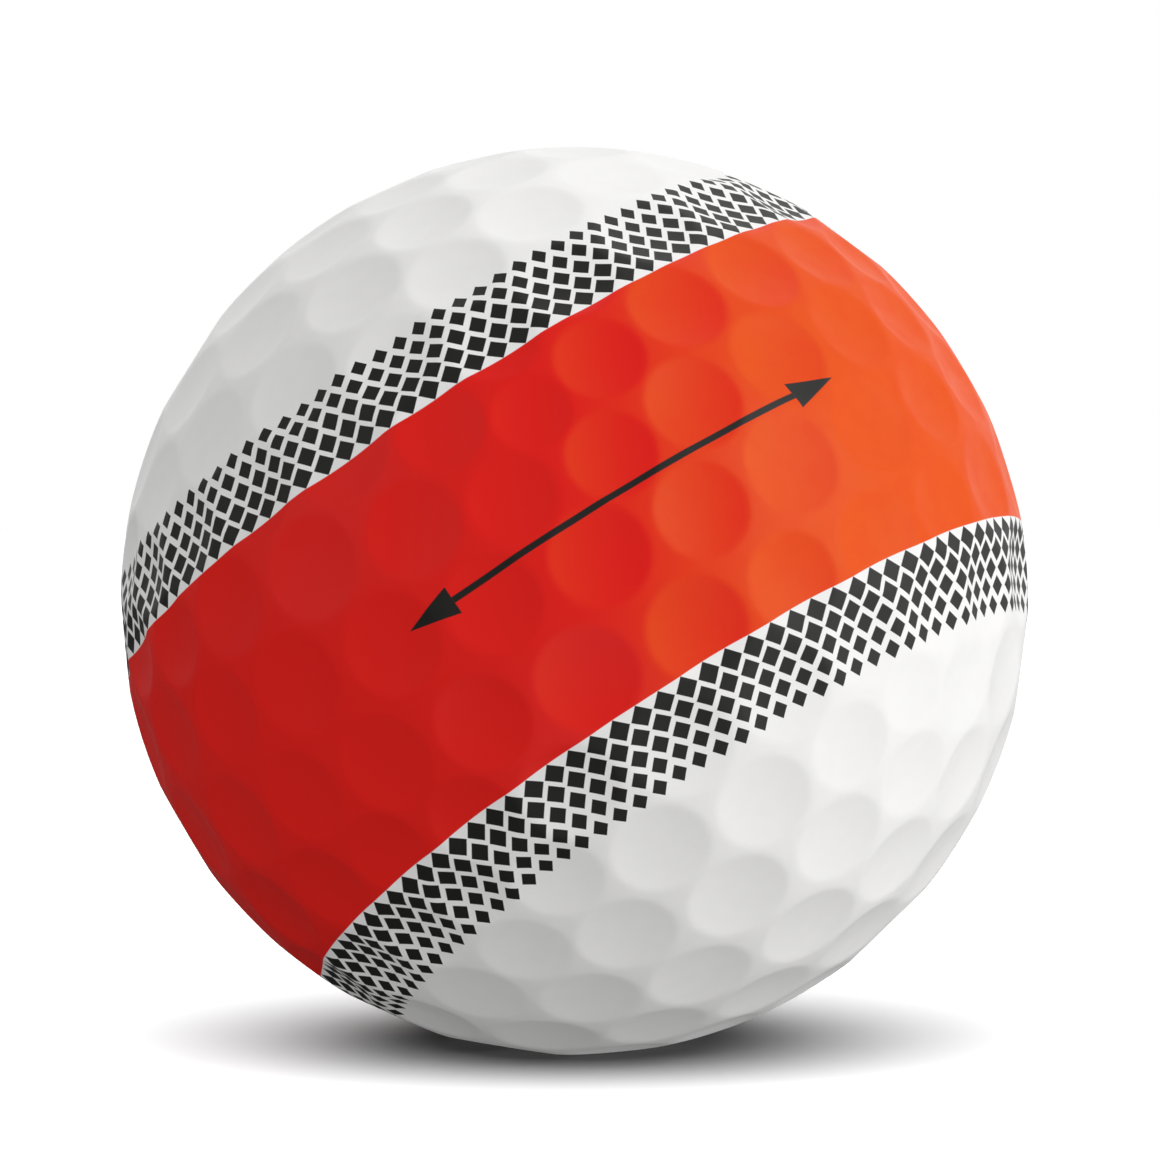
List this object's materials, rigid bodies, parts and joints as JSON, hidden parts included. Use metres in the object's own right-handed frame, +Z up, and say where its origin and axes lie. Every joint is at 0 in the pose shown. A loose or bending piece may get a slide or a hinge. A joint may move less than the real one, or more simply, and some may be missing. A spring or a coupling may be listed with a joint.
{
  "type": "golf ball",
  "caption": "Round golf ball with a rubber core, a thin stiff mantle and a dimpled cover, carrying a broad alignment band",
  "frame": {"origin": "centre of the ball", "axes": "+Z up as the ball lies on a level surface, +Y away from the viewer of the printed side, +X to that viewer's right"},
  "size_m": [0.0426, 0.0426, 0.0426],
  "materials": {
    "core_rubber": "matt cured rubber",
    "mantle_ionomer": "satin, slightly clouded ionomer",
    "cover_urethane": "white cast urethane under white paint and clear lacquer, with an orange-red printed band"
  },
  "bodies": {
    "root": {"core": "core_rubber", "mantle": "mantle_ionomer", "cover_upper_half": "cover_urethane", "cover_lower_half": "cover_urethane"}
  },
  "joints": []
}
